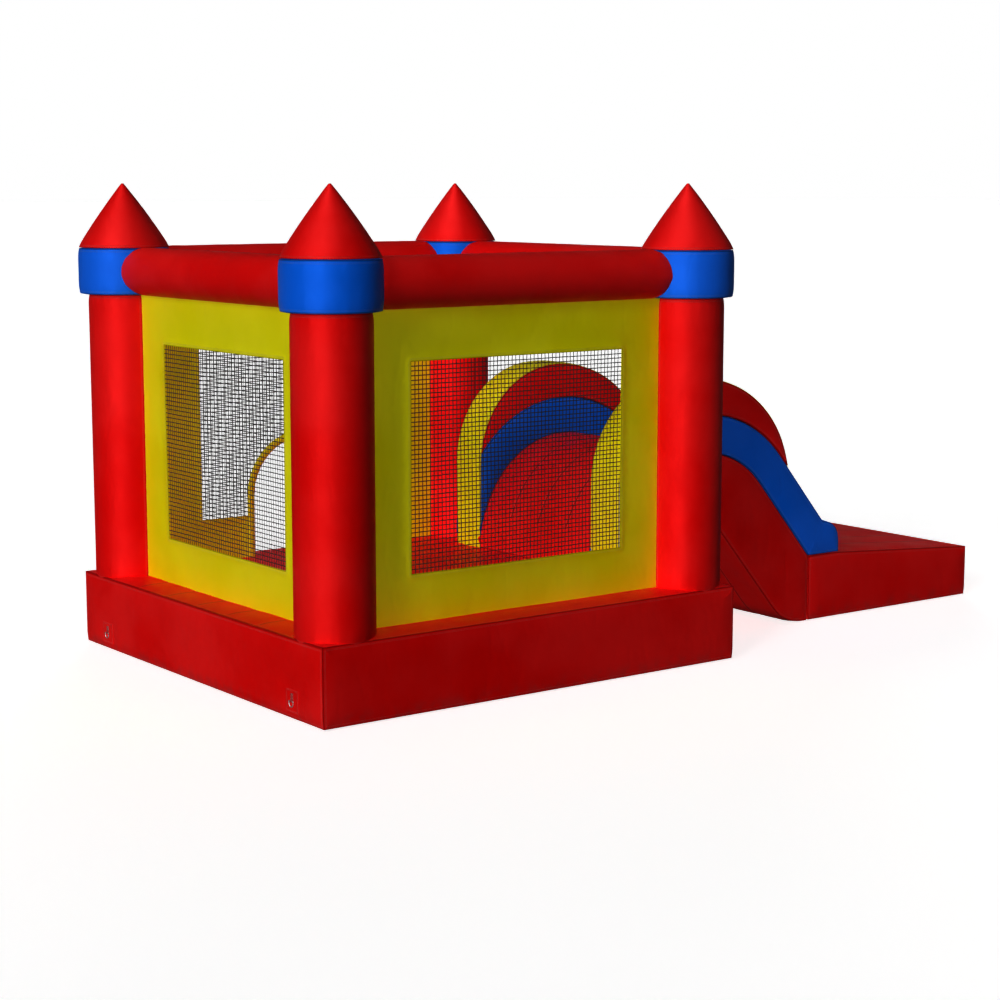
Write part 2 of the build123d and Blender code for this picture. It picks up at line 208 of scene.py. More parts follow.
RED = vinyl("red_vinyl_look", (0.93, 0.001, 0.001))
BLUE = vinyl("blue_vinyl_look", (0.0005, 0.20, 0.93))
YELLOW = vinyl("yellow_vinyl_look", (0.90, 0.885, 0.001))
NET = cloth("net_cord", (0.006, 0.006, 0.006), 0.0016, sheen=0.02)
WEB_FABRIC = cloth("inner_web_fabric", (0.72, 0.72, 0.69), 0.0018)
RED_WEBBING = cloth("red_webbing_weave", (0.50, 0.003, 0.003), 0.0022, sheen=0.04)
BLACK_WEBBING = cloth("black_webbing_weave", (0.02, 0.02, 0.021), 0.0022)
TAPE = cloth("zip_tape_weave", (0.035, 0.035, 0.038), 0.0012)
STEEL = metal("ring_steel_look", (0.60, 0.60, 0.61), 0.28)
NICKEL = metal("zip_nickel", (0.80, 0.78, 0.74), 0.30)
BLACK_PLASTIC = plastic("black_plastic_look", (0.018, 0.018, 0.019))
WHITE_THREAD = cloth("white_thread", (0.78, 0.77, 0.74), 0.0006)
GREY_THREAD = cloth("grey_thread", (0.11, 0.11, 0.115), 0.0006)


# ---- meshes ---------------------------------------------------------------------------
def stacked(*values):
    """Arrays of like or broadcast shapes, put together along a new last axis."""
    return np.stack(np.broadcast_arrays(*values), -1)


class Builder:
    """Collects patches of one piece. A seam value is (along, away): places beside the nearest seam."""

    def __init__(self):
        self.points, self.faces, self.seams, self.count = [], [], [], 0

    def add(self, points, faces, seam=PLAIN):
        """Points (n, 3) with faces as tuples of their indices, and one seam value or one for each point."""
        points = np.asarray(points, float).reshape(-1, 3)
        self.points.append(points)
        self.seams.append(np.broadcast_to(np.reshape(seam, (-1, 2)), (len(points), 2)))
        self.faces += [tuple(i + self.count for i in face) for face in faces]
        self.count += len(points)

    def grid(self, points, seam=PLAIN, wrap=False):
        """Quads between points (rows, columns, 3), with the last column joined to the first if wrap."""
        rows, columns = points.shape[:2]
        faces = []
        for here in range(0, (rows - 1) * columns, columns):
            there = here + columns
            for j in range(columns if wrap else columns - 1):
                k = (j + 1) % columns
                faces.append((here + j, here + k, there + k, there + j))
        self.add(points, faces, seam)

    def bar(self, points):
        """Closed bar through points (steps, profile, 3), with a flat face at each end."""
        self.grid(points, wrap=True)
        steps, around = points.shape[:2]
        for first in (self.count - steps * around, self.count - around):
            self.faces.append(tuple(range(first, first + around)))

    def slab(self, front, back, seam):
        """Closed sheet between two grids of points, with a strip along each of its four edges."""
        self.grid(front, seam)
        self.grid(back, seam)
        every = slice(None)
        for where in ((every, 0), (every, -1), (0, every), (-1, every)):
            self.grid(np.stack([front[where], back[where]]))

    def piece(self, name, material, slot, *nodes, crease=math.radians(28)):
        """The finished piece: shared points are joined, and every face is turned outwards."""
        mesh = bpy.data.meshes.new(name)
        mesh.from_pydata(np.concatenate(self.points).tolist(), [], self.faces)
        corners = [i for face in self.faces for i in face]
        layer = mesh.uv_layers.new(name="seam")
        layer.data.foreach_set("uv", np.concatenate(self.seams)[corners].astype(np.float32).ravel())
        mesh.materials.append(material)
        work = bmesh.new()
        work.from_mesh(mesh)
        bmesh.ops.remove_doubles(work, verts=work.verts, dist=WELD)
        bmesh.ops.delete(work, geom=[v for v in work.verts if not v.link_faces], context="VERTS")
        bmesh.ops.recalc_face_normals(work, faces=work.faces)
        work.to_mesh(mesh)
        work.free()
        mesh.shade_smooth()
        mesh.set_sharp_from_angle(angle=crease)
        made = bpy.data.objects.new(name, mesh)
        bpy.context.scene.collection.objects.link(made)
        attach(made, HOUSE)
        if nodes:
            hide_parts(*nodes)
        return made


def air_piece(made, name, material, slot, node):
    """Blown-up piece that stands for a CAD node."""
    made.piece(name, material, slot, node)


def shape_in(distance, reach):
    """0 at a seam, rising smoothly to 1 at its reach."""
    t = np.clip(np.asarray(distance, float) / reach, 0.0, 1.0)
    return 1.0 - (1.0 - t) ** 2


class Pucker:
    """Small ripples along a seam, made by the stitching, which fade away from it."""

    def __init__(self, size):
        self.size = size
        self.waves = [(w * rng.uniform(0.9, 1.1), rng.uniform(0, PHASES), rng.uniform(0.5, 1.0))
                      for w in (0.075, 0.11, 0.17, 0.29)]
        self.swell = rng.uniform(0, PHASES, 2)

    def __call__(self, along, away):
        along, away = np.broadcast_arrays(np.asarray(along, float), np.asarray(away, float))
        wave = sum(a * np.sin(TURN * along / w + p) for w, p, a in self.waves) / 2.2
        swell = 0.6 + 0.4 * np.sin(2.6 * along + self.swell[0]) * np.sin(1.1 * along + self.swell[1])
        return self.size * wave * swell * np.clip(away / 0.02, 0, 1) * np.exp(-away / 0.07)


def soft_noise(p):
    """Very gentle unevenness of a large panel at (x, y, z) points, about 1 high."""
    value = np.sin(2.1 * p[..., 0] + 1.3) * np.sin(1.7 * p[..., 1] + 0.4) * np.sin(2.4 * p[..., 2] + 2.0)
    return value + 0.5 * np.sin(4.3 * p[..., 0] + 3.1 * p[..., 2]) * np.sin(3.7 * p[..., 1] + 2.2)


def soft_wave(xz, y):
    """A like unevenness for a face whose points are given as (x, z) and y."""
    x, z = xz[..., 0], xz[..., 1]
    return np.sin(2.3 * x + 1.9 * z + 0.7) * np.sin(2.6 * y + 0.9) + 0.5 * np.sin(4.7 * x + 1.1 + 2.9 * y)


def spaced(length, step=STEP, stops=()):
    """Distances from 0 to length, close together beside each stop and at the ends."""
    marks = sorted({0.0, length, *[s for s in stops if 0 < s < length]})
    found = []
    for a, b in zip(marks, marks[1:]):
        near = [r for r in ROWS if r < (b - a) / 2]
        inner = np.arange(near[-1] + step, (b - a) / 2, step * 1.6) if b - a > 2 * near[-1] + step else []
        half = [*near, *inner]
        found += [a + h for h in half] + [b - h for h in half if b - h > a + half[-1] + 1e-6]
    return np.array(sorted({round(v, 7) for v in [*found, length]}))


# ---- outlines ---------------------------------------------------------------------------
def turning_area(loop):
    """Area inside a loop, below zero if it runs clockwise."""
    x, z = loop[:, 0], loop[:, 1]
    return 0.5 * np.sum(x * np.roll(z, -1) - np.roll(x, -1) * z)


def flat_loops(node, axis=1):
    """Closed (u, z) outlines of a node's first flat face across an axis, the outer one first.

    The outer loop runs anticlockwise and the holes run clockwise."""
    mesh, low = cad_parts[node].data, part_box(node)[0][axis]
    edges = {}
    for polygon in mesh.polygons:
        ring = [mesh.vertices[i].co for i in polygon.vertices]
        if any(abs(p[axis] - low) > 1e-5 for p in ring):
            continue
        keys = [(round(p[1 - axis], 5), round(p.z, 5)) for p in ring]
        for a, b in zip(keys, keys[1:] + keys[:1]):
            if edges.pop((b, a), None) is None:
                edges[(a, b)] = True
    after = dict(edges.keys())
    loops = []
    while after:
        start, here = after.popitem()
        loop = [start]
        while here != start:
            loop.append(here)
            here = after.pop(here)
        loops.append(np.array(loop))
    loops.sort(key=lambda loop: -abs(turning_area(loop)))
    return [loop if (turning_area(loop) > 0) == (i == 0) else loop[::-1] for i, loop in enumerate(loops)]


def runs(outline):
    """The outline cut at its corners into runs of points, each run with both of its ends."""
    ahead = np.roll(outline, -1, 0) - outline
    turn = np.arctan2(ahead[:, 1], ahead[:, 0])
    change = np.abs((turn - np.roll(turn, 1) + np.pi) % TURN - np.pi)
    corners = [i for i in range(len(outline)) if change[i] > CORNER_TURN]
    closed = np.concatenate([outline, outline])
    found = []
    for i, corner in enumerate(corners):
        end = corners[(i + 1) % len(corners)]
        end += len(outline) if end <= corner else 0
        found.append(closed[corner:end + 1])
    return found


def distances(points):
    """How far along a line each of its points lies."""
    return np.concatenate([[0], np.cumsum(np.linalg.norm(np.diff(points, axis=0), axis=1))])


def between(places, known, points):
    """Points at new places along a line, from its points at known places."""
    return np.stack([np.interp(places, known, points[:, k]) for k in (0, 1)], 1)


def run_length(run):
    return distances(run)[-1]


def resample(run, step=STEP):
    """Graded points along a run, their normals and how far along they lie.

    A curved run is smoothed a little, so that the facets of its outline don't show."""
    fine_step, passes = 0.008, 36
    length = distances(run)
    at = spaced(length[-1], step=step)
    fine = np.linspace(0, length[-1], max(3, int(length[-1] / fine_step)))
    path = between(fine, length, run)
    for _ in range(passes if len(run) > 3 else 0):
        path[1:-1] = 0.5 * path[1:-1] + 0.25 * (path[:-2] + path[2:])
    points = between(at, fine, path)
    tangent = between(at, fine, np.gradient(path, fine, axis=0))
    tangent /= np.linalg.norm(tangent, axis=1)[:, None]
    return points, np.stack([tangent[:, 1], -tangent[:, 0]], 1), at


def meet(parts):
    """Makes the runs of an outline that were moved sideways end where their straight ends cross.

    Each part is (points, normals, places, ...), and points that a corner has passed are left out."""
    for i in range(len(parts)):
        (a, na), (b, nb) = parts[i - 1][:2], parts[i][:2]
        corner = np.linalg.solve(np.array([na[-1], nb[0]]), np.array([a[-1] @ na[-1], b[0] @ nb[0]]))
        a[-1], b[0] = corner, corner
    found = []
    for part in parts:
        points, normals, at = part[:3]
        ahead = np.stack([-normals[:, 1], normals[:, 0]], 1)
        keep = ((points - points[0]) @ ahead[0] > 0.003) | (at > 0.15)
        keep &= ((points[-1] - points) @ ahead[-1] > 0.003) | (at < at[-1] - 0.15)
        keep[[0, -1]] = True
        found.append(tuple(values[keep] for values in part))
    return found


def evened(loop, step=STEP, inset=0.0):
    """A loop with well spaced points that keeps its corners, moved inwards."""
    parts = [resample(run, step) for run in runs(loop)]
    if inset:
        parts = meet([(points - normals * inset, normals, at) for points, normals, at in parts])
    return np.concatenate([points[:-1] for points, _, _ in parts])


def inside_polygon(points, ring):
    x, z = points[:, 0], points[:, 1]
    found = np.zeros(len(points), bool)
    for (x0, z0), (x1, z1) in zip(ring, np.roll(ring, -1, 0)):
        crosses = (z0 > z) != (z1 > z)
        with np.errstate(divide="ignore", invalid="ignore"):
            found ^= crosses & (x < (x1 - x0) * (z - z0) / (z1 - z0) + x0)
    return found


def to_ring(points, ring):
    """Distance of each point to a closed ring, and how far along the ring the nearest place is."""
    span = np.roll(ring, -1, 0) - ring
    size = np.linalg.norm(span, axis=1)
    start = np.concatenate([[0], np.cumsum(size)[:-1]])
    best = np.full(len(points), FAR)
    along = np.zeros(len(points))
    for a, d, l, s in zip(ring, span, size, start):
        t = np.clip(((points - a) @ d) / max(l * l, 1e-12), 0, 1)
        gap = np.linalg.norm(points - a - t[:, None] * d, axis=1)
        closer = gap < best
        best[closer], along[closer] = gap[closer], (s + t * l)[closer]
    return best, along


def fill_ring(ring, holes=(), step=0.055, rows=ROWS[2:7]):
    """Triangles over a flat ring with holes: (points, faces, distance to an edge, place along it)."""
    least_area = 2e-7

    def clear(points, least):
        """The points inside the ring and outside the holes that are not too near an edge."""
        keep = inside_polygon(points, ring)
        gap = to_ring(points, ring)[0]
        for hole in holes:
            keep &= ~inside_polygon(points, hole)
            gap = np.minimum(gap, to_ring(points, hole)[0])
        return points[keep & (gap > least)]

    inner, edges, start = [], [], 0
    for one in (ring, *holes):
        span = np.roll(one, -1, 0) - np.roll(one, 1, 0)
        normal = np.stack([-span[:, 1], span[:, 0]], 1) / np.linalg.norm(span, axis=1)[:, None]
        for k, depth in enumerate(rows):
            row = one + normal * depth
            inner.append(clear(row[::2] if k > 2 else row, 0.93 * depth))
        edges += [(start + i, start + (i + 1) % len(one)) for i in range(len(one))]
        start += len(one)
    low, high = ring.min(0), ring.max(0)
    grid = stacked(*np.meshgrid(np.arange(low[0], high[0], step), np.arange(low[1], high[1], step)))
    grid = clear(grid.reshape(-1, 2) + 0.185 * step, rows[-1] + 0.02)
    points = np.concatenate([ring, *holes, *inner, grid])
    out = delaunay_2d_cdt([Vector(p) for p in points], edges, [], 0, 1e-6)
    flat, faces = np.array([v[:] for v in out[0]]), np.array(out[2])
    corners = flat[faces]
    middles = corners.mean(1)
    (ax, az), (bx, bz) = (corners[:, 1] - corners[:, 0]).T, (corners[:, 2] - corners[:, 0]).T
    good = inside_polygon(middles, ring) & (np.abs(ax * bz - az * bx) > 2 * least_area)
    away, along = to_ring(flat, ring)
    for hole in holes:
        good &= ~inside_polygon(middles, hole)
        hole_away, hole_along = to_ring(flat, hole)
        closer = hole_away < away
        away[closer], along[closer] = hole_away[closer], hole_along[closer]
    return flat, faces[good].tolist(), away, along


# ---- air chambers with a constant side view -------------------------------------------------
def fitting_spots():
    """Boxes round the fittings on the sides of the floor and the run-out: (middle, half size)."""
    spots = []
    for name in ("zip_tapes", "air_inlet_sleeve", *RINGS):
        low, high = (np.array(corner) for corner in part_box(name))
        spots.append(((low + high) / 2, (high - low) / 2 + (0.06 if name in RINGS else 0.01)))
    return spots


SPOTS = fitting_spots()


def settled(height, points):
    """Height over the plain face, which fades to none where a fitting lies, from a hand's width away."""
    gap = np.full(points.shape[:-1], FAR)
    for middle, half in SPOTS:
        gap = np.minimum(gap, np.linalg.norm(np.clip(np.abs(points - middle) - half, 0, None), axis=-1))
    t = np.clip(gap / 0.12, 0, 1)
    return np.minimum(height, 0) + np.maximum(height, 0) * t * t * (3 - 2 * t)


def corner_pull(a, b, loft):
    """How far a corner between two normals moves inwards, no more than three times loft at a sharp one."""
    move = -loft * (a + b) / (1 + a @ b)
    return move * min(1.0, 3 * loft / np.linalg.norm(move))


def chamber(node, loft, reach, channels=(), grow=lambda run: None):
    """Air chamber: its edge band and its two sides, swollen between seams.

    loft is how far the seams lie below the middles of the faces, which stand a little proud of the
    flat shape, and reach is how far from a seam the swelling takes. channels are the Y places of
    inner webs that draw a groove along the upper and lower faces. grow says how far a run of the
    outline is moved out instead, or None to leave it."""
    proud, groove = 0.6 * loft, 0.004
    low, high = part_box(node)
    parts = []
    for run in runs(flat_loops(node)[0]):
        points, normals, at = resample(run)
        own = grow(points)
        out = proud * np.clip(points[:, 1] / 0.08, 0, 1) if own is None else np.full(len(points), own)
        parts.append((points + normals * out[:, None], normals, at, out[:, None]))
    parts = meet(parts)
    y0, y1 = low.y + loft - proud, high.y - loft + proud
    ys = spaced(y1 - y0, stops=[c - y0 for c in channels])
    edge_gap = np.minimum(ys, y1 - y0 - ys)
    side_ripple, end_ripple, channel_ripple = Pucker(RIPPLE), Pucker(RIPPLE), Pucker(0.8 * RIPPLE)
    made, ring, travelled = Builder(), [], 0.0
    for i, (points, normals, at, out) in enumerate(parts):
        length = at[-1]
        run = (travelled + at)[:, None]
        end_gap = np.minimum(at, length - at)[:, None]
        flat, fade = points, np.zeros(len(at))
        for normal, beside, gap in ((normals[0], parts[i - 1][1][-1], at),
                                    (normals[-1], parts[(i + 1) % len(parts)][1][0], length - at)):
            near = 1 - shape_in(gap, min(reach, length / 2))
            flat = flat + (corner_pull(beside, normal, loft) + loft * normal) * near[:, None]
            fade = np.maximum(fade, near)
        lift = -loft * (1 - (1 - fade)[:, None] * shape_in(edge_gap, reach))
        lift += side_ripple(run, edge_gap) * np.clip(end_gap / 0.03, 0, 1)
        lift += end_ripple(ys + 3.7 * i, end_gap) * np.clip(edge_gap / 0.05, 0, 1)
        away = np.minimum(end_gap, edge_gap)
        along = np.where(end_gap < edge_gap, ys, run)
        if len(channels):
            gap = np.min([np.abs(ys + y0 - c) for c in channels], axis=0)
            level = shape_in(end_gap, 0.10) * (np.abs(normals[:, 1:]) > 0.3)
            lift -= groove * (1 - shape_in(gap, 0.19)) * level
            lift += channel_ripple(run, gap) * level
            nearer = (gap < away) & (level > 0.5)
            away, along = np.where(nearer, gap, away), np.where(nearer, run, along)
        y = np.broadcast_to(y0 + ys, lift.shape)
        lift += 0.003 * soft_wave(points[:, None], y) * shape_in(np.minimum(end_gap, edge_gap), 0.4)
        lift = settled(lift + out, stacked(points[:, :1], y, points[:, 1:])) - out
        xz = flat[:, None] + normals[:, None] * lift[..., None]
        surface = stacked(xz[..., 0], y, np.maximum(xz[..., 1], low.z))
        made.grid(surface, stacked(along, away))
        ring.append(surface[:-1, 0, ::2])
        travelled += length
    flat, faces, away, along = fill_ring(np.concatenate(ring))
    for y, face, sign in ((y0, low.y, -1.0), (y1, high.y, 1.0)):
        place = stacked(flat[:, 0], y, flat[:, 1])
        height = proud - loft + loft * shape_in(away, reach) + Pucker(RIPPLE)(along, away)
        height += 0.004 * soft_noise(place) * shape_in(away, 0.5)
        place[:, 1] = face + sign * settled(height, place)
        made.add(place, faces, stacked(along, away))
    return made


WEBBED = (
    # node, its node of webs, how many webs, name of the piece, loft, reach
    ("bounce_floor", "floor_baffles", 7, "floor_mattress", 0.014, 0.16),
    ("slide_bed", "slide_bed_baffles", 5, "slide_slab", 0.012, 0.14),
    ("runout_mat", "runout_baffles", 5, "runout_mattress", 0.014, 0.16),
)


def web_places(webs, count):
    """The Y places of the evenly spaced webs in a node of webs."""
    half = 0.0015
    low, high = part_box(webs)
    return np.linspace(low.y + half, high.y - half, count)


def make_webbed():
    """Floor, slide slab and run-out, which webs hold flat."""
    for node, webs, count, name, loft, reach in WEBBED:
        air_piece(chamber(node, loft, reach, channels=web_places(webs, count)), name, RED, "red_vinyl", node)


def rim_outer():
    """The rims' outer line as (x, z) points, from the room's floor up and over the arch."""
    longest = max(runs(flat_loops("slide_rim_front")[0]), key=run_length)
    if longest[0, 0] > longest[-1, 0]:
        longest = longest[::-1]
    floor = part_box("bounce_floor")[1].z
    return np.concatenate([[[longest[0, 0], floor]], longest])


def make_side(side):
    """One side wall of the slide: blue bolster, red arch and yellow rim."""
    line = rim_outer()
    rim_thick, overlap = 0.015, 0.002

    def touches_rim(points):
        gap = to_ring(points[1:-1], np.concatenate([line, line[-2:0:-1]]))[0]
        return rim_thick + overlap if np.median(np.abs(gap - rim_thick)) < 0.004 else None

    for part, material, slot in (("bolster", BLUE, "blue_vinyl"), ("arch", RED, "red_vinyl")):
        node = f"slide_{part}_{side}"
        air_piece(chamber(node, 0.012, 0.12, grow=touches_rim), f"{side}_{part}", material, slot, node)
    make_rim(side, line)


def make_rim(side, line):
    """Yellow strip of cloth round the edge of a side wall."""
    low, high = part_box(f"slide_rim_{side}")
    loft, reach, proud, thick = 0.010, 0.12, 0.006, 0.003
    points, normals, at = resample(line)
    if (normals * (points - points.mean(0))).sum() < 0:
        normals = -normals
    y0, y1 = low.y + loft, high.y - loft
    ys = spaced(y1 - y0)
    gap = np.minimum(ys, y1 - y0 - ys)
    lift = proud - loft * (1 - shape_in(gap, reach)) + Pucker(RIPPLE)(at[:, None], gap)
    sheets = []
    for depth in (0.0, thick):
        xz = points[:, None] + normals[:, None] * (lift - depth)[..., None]
        sheets.append(stacked(xz[..., 0], y0 + ys, xz[..., 1]))
    made = Builder()
    made.slab(*sheets, stacked(at[:, None], gap))
    piece = made.piece(f"{side}_rim", YELLOW, "yellow_vinyl", f"slide_rim_{side}")


# ---- towers, collars, roofs and beams ---------------------------------------------------
SINK = 0.03     # how far a piece reaches into the one it is sewn to, so that no gap shows
PROUD = 0.004   # how far the middle of a round chamber stands out past its plain size


def tube(place, length, radius, ring, loft, reach, seams, ripple=0.0035, ends=(True, True), crown=0.0):
    """Round air chamber, closed at both ends. place(s, angle, r) gives a point, radius(s) the plain radius.

    seams are the angles of its lengthwise seams, ends says which end's seam draws the cloth in, and
    crown is how far the ends' middles stand up or down."""
    at = spaced(length, step=0.05)[:, None]
    angles = np.linspace(0, TURN, ring, endpoint=False)
    r = np.broadcast_to(radius(at), at.shape)
    end_gap = np.minimum(at if ends[0] else FAR, length - at if ends[1] else FAR)
    lift = -loft * (1 - shape_in(end_gap, reach)) + Pucker(ripple)(angles * r, end_gap)
    gap = np.min([np.abs((angles - seam + np.pi) % TURN - np.pi) for seam in seams], axis=0) * r
    lift -= 0.005 * (1 - shape_in(gap, 0.10))
    lift += Pucker(0.5 * ripple)(at, gap)
    nearer = gap < end_gap
    away = np.where(nearer, gap, end_gap)
    along = np.where(nearer, at, angles * r)
    points = place(at, angles, r + lift)
    # the wrapped column keeps its own running length, so stitches don't stretch over the join
    points = np.concatenate([points, points[:, :1]], 1)
    away = np.concatenate([away, away[:, :1]], 1)
    along = np.concatenate([along, np.where(nearer[:, :1], at, TURN * r)], 1)
    made = Builder()
    made.grid(points, stacked(along, away))
    for rim, way in ((points[0], -1), (points[-1], 1)):
        shares = np.array([1.0, 0.97, 0.9, 0.75, 0.5, 0.25, 0.04, 0.0])[:, None]
        middle = rim[:-1].mean(0)
        size = np.linalg.norm(rim - middle, axis=1).mean()
        disc = middle + (rim - middle) * shares[..., None]
        disc[..., 2] += way * crown * shape_in((1 - shares) * size, 0.08)
        made.grid(disc, stacked(np.linspace(0, TURN * size, len(rim)), (1 - shares) * size))
    return made


def upright(x, y, foot, rise=1.0):
    """Points of a round chamber that stands up, where a length along it rises by rise times as much."""
    return lambda s, angle, r: stacked(x + r * np.cos(angle), y + r * np.sin(angle), foot + rise * s)


def round_box(node):
    """Middle x and y, foot, radius and height of an upright round node."""
    low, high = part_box(node)
    return (low.x + high.x) / 2, (low.y + high.y) / 2, low.z, (high.x - low.x) / 2, high.z - low.z


def sewn_angles(x, y):
    """Angles at which the walls and beams meet a corner's tower and collar."""
    return math.pi if x > 0 else 0.0, -math.pi / 2 if y > 0 else math.pi / 2


def make_corner(corner):
    """Tower, collar and roof of one corner."""
    x, y, foot, radius, height = round_box(f"tower_{corner}")
    place, seams = upright(x, y, foot - SINK), sewn_angles(x, y)
    made = tube(place, height + SINK, lambda s: radius + PROUD, 120, 0.010, 0.09, seams)
    air_piece(made, f"{corner}_tower", RED, "red_vinyl", f"tower_{corner}")

    x, y, foot, radius, height = round_box(f"collar_{corner}")
    loft = 0.010
    place = upright(x, y, foot + loft, rise=(height - 2 * loft) / height)
    made = tube(place, height, lambda s: radius + PROUD, 132, loft, 0.10, seams, crown=loft)
    air_piece(made, f"{corner}_collar", BLUE, "blue_vinyl", f"collar_{corner}")

    x, y, foot, radius, height = round_box(f"cone_{corner}")
    tip, swell = 0.012, 0.010
    slant = math.hypot(radius + PROUD, height)

    def cone_radius(s):
        return (radius + PROUD) * (1 - s / slant) + tip * s / slant + swell * np.sin(np.pi * s / slant)

    place = upright(x, y, foot, rise=height / slant)
    made = tube(place, slant, cone_radius, 132, 0.008, 0.10, (0.0,), ends=(True, False))
    air_piece(made, f"{corner}_roof", RED, "red_vinyl", f"cone_{corner}")


def make_beam(side):
    """Top tube between two collars, with ends that follow the collars' round faces."""
    low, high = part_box(f"beam_{side}")
    collar_x, collar_y, _, collar_radius, _ = round_box("collar_front_left")
    along_x = side in ("front", "back")
    radius, z = (high.z - low.z) / 2 + PROUD, (low.z + high.z) / 2
    if along_x:
        half, other, tower = -low.x, (low.y + high.y) / 2, abs(collar_x)
    else:
        half, other, tower = -low.y, (low.x + high.x) / 2, abs(collar_y)

    def place(s, angle, r):
        sideways = r * np.cos(angle)
        reach = tower - np.sqrt((collar_radius - SINK) ** 2 - np.clip(sideways, -radius, radius) ** 2)
        run = (s / half - 1) * reach
        x, y = (run, other + sideways) if along_x else (other - sideways, run)
        return stacked(x, y, z + r * np.sin(angle))

    made = tube(place, 2 * half, lambda s: radius, 96, 0.012, 0.10, (0.25 * TURN, 0.75 * TURN), ripple=0.005)
    air_piece(made, f"{side}_beam", RED, "red_vinyl", f"beam_{side}")


# ---- walls, nets and the door -------------------------------------------------------------
WALLS = {"front": 1, "back": 1, "left": 0}       # the axis that each wall stands across
SHEET, HEM = 0.004, 0.008                        # thickness of wall cloth and of its folded hem
HEM_WIDTH, HEM_FADE = 0.040, 0.006
MESH_PITCH, CORD_WIDTH, CORD_THICK = 0.035, 0.007, 0.003
TUCK = 0.02                                      # how far a wall reaches into what it is sewn to


def edge_gap(side, points):
    """Distance of (u, z) points from the edge of a wall."""
    u, z = points[:, 0], points[:, 1]
    low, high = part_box(f"wall_{side}")
    axis = 1 - WALLS[side]
    return np.clip(np.min([u - low[axis], high[axis] - u, z - low.z, high.z - z], axis=0), 0, None)


def billow(side, points):
    """How far a wall or its net stands out of its flat plane at (u, z) points."""
    u, z = points[:, 0], points[:, 1]
    shift = len(side) * 1.7
    wave = 0.6 * np.sin(2.3 * u + shift) * np.sin(1.9 * z + shift) + 0.4 * np.sin(4.1 * u - 2.2 * z + shift)
    return 0.009 * shape_in(edge_gap(side, points), 0.5) * wave


def upright_points(axis, middle, flat, off):
    """Points of an upright sheet across an axis, off its middle plane."""
    depth = middle + off
    return stacked(flat[:, 0], depth, flat[:, 1]) if axis == 1 else stacked(depth, flat[:, 0], flat[:, 1])


def two_sided(made, axis, middle, loops, filling, off, thick):
    """Closed sheet from a flat filling of loops: off and thick are functions of (u, z) points."""
    flat, faces, away, along = filling
    for sign in (-1.0, 1.0):
        side = upright_points(axis, middle, flat, off(flat) + sign * thick(flat) / 2)
        made.add(side, faces, stacked(along, away))
    for loop in loops:
        ring = np.concatenate([loop, loop[:1]])
        made.grid(np.stack([upright_points(axis, middle, ring, off(ring) + sign * thick(ring) / 2)
                            for sign in (-1.0, 1.0)]))


def make_wall(side):
    """Yellow wall cloth with a folded hem round its window, and round the doorway at the back."""
    node, axis = f"wall_{side}", WALLS[side]
    low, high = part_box(node)
    outline, *openings = flat_loops(node, axis)
    for k, (least, most) in enumerate(((low[1 - axis], high[1 - axis]), (low.z, high.z))):
        outline[:, k] += TUCK * (outline[:, k] > most - 1e-4) - TUCK * (outline[:, k] < least + 1e-4)
    loops = [evened(loop) for loop in (outline, *openings)]
    filling = fill_ring(loops[0], loops[1:], rows=(0.006, 0.037, 0.043, 0.065, 0.1, 0.15))
    window_low, window_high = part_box(f"net_{side}")
    door_low, door_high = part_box("door_trim")
    sewn, free = Pucker(0.006), Pucker(0.004)

    def to_window(points):
        u, z = points[:, 0], points[:, 1]
        across = np.max([window_low[1 - axis] - u, u - window_high[1 - axis]], axis=0)
        up = np.max([window_low.z - z, z - window_high.z], axis=0)
        return np.hypot(np.clip(across, 0, None), np.clip(up, 0, None))

    def off(points):
        run = points.sum(1)
        moved = billow(side, points) + sewn(run, edge_gap(side, points))
        return moved + free(run, np.clip(to_window(points) - HEM_WIDTH, 0, None))

    def hem_share(gap):
        """1 in the hem, falling to 0 just past its width."""
        return np.clip((HEM_WIDTH + HEM_FADE / 2 - gap) / HEM_FADE, 0, 1)

    def thick(points):
        hem = hem_share(to_window(points))
        if side == "back":      # the hem runs down both sides of the doorway too
            beside = np.max([door_low.x - points[:, 0], points[:, 0] - door_high.x], axis=0)
            hem = np.maximum(hem, hem_share(beside) * (points[:, 1] < window_low.z))
        return SHEET + (HEM - SHEET) * hem

    made = Builder()
    two_sided(made, axis, (low[axis] + high[axis]) / 2, loops, filling, off, thick)
    piece = made.piece(f"{side}_wall", YELLOW, "yellow_vinyl", node, crease=math.radians(40))


def crossings(loop, fixed, at):
    """Where a straight line crosses a loop: fixed 0 is an upright line, 1 a level one."""
    found = []
    for a, b in zip(loop, np.roll(loop, -1, 0)):
        if (a[fixed] > at) != (b[fixed] > at):
            t = (at - a[fixed]) / (b[fixed] - a[fixed])
            found.append(a[1 - fixed] + t * (b[1 - fixed] - a[1 - fixed]))
    return sorted(found)


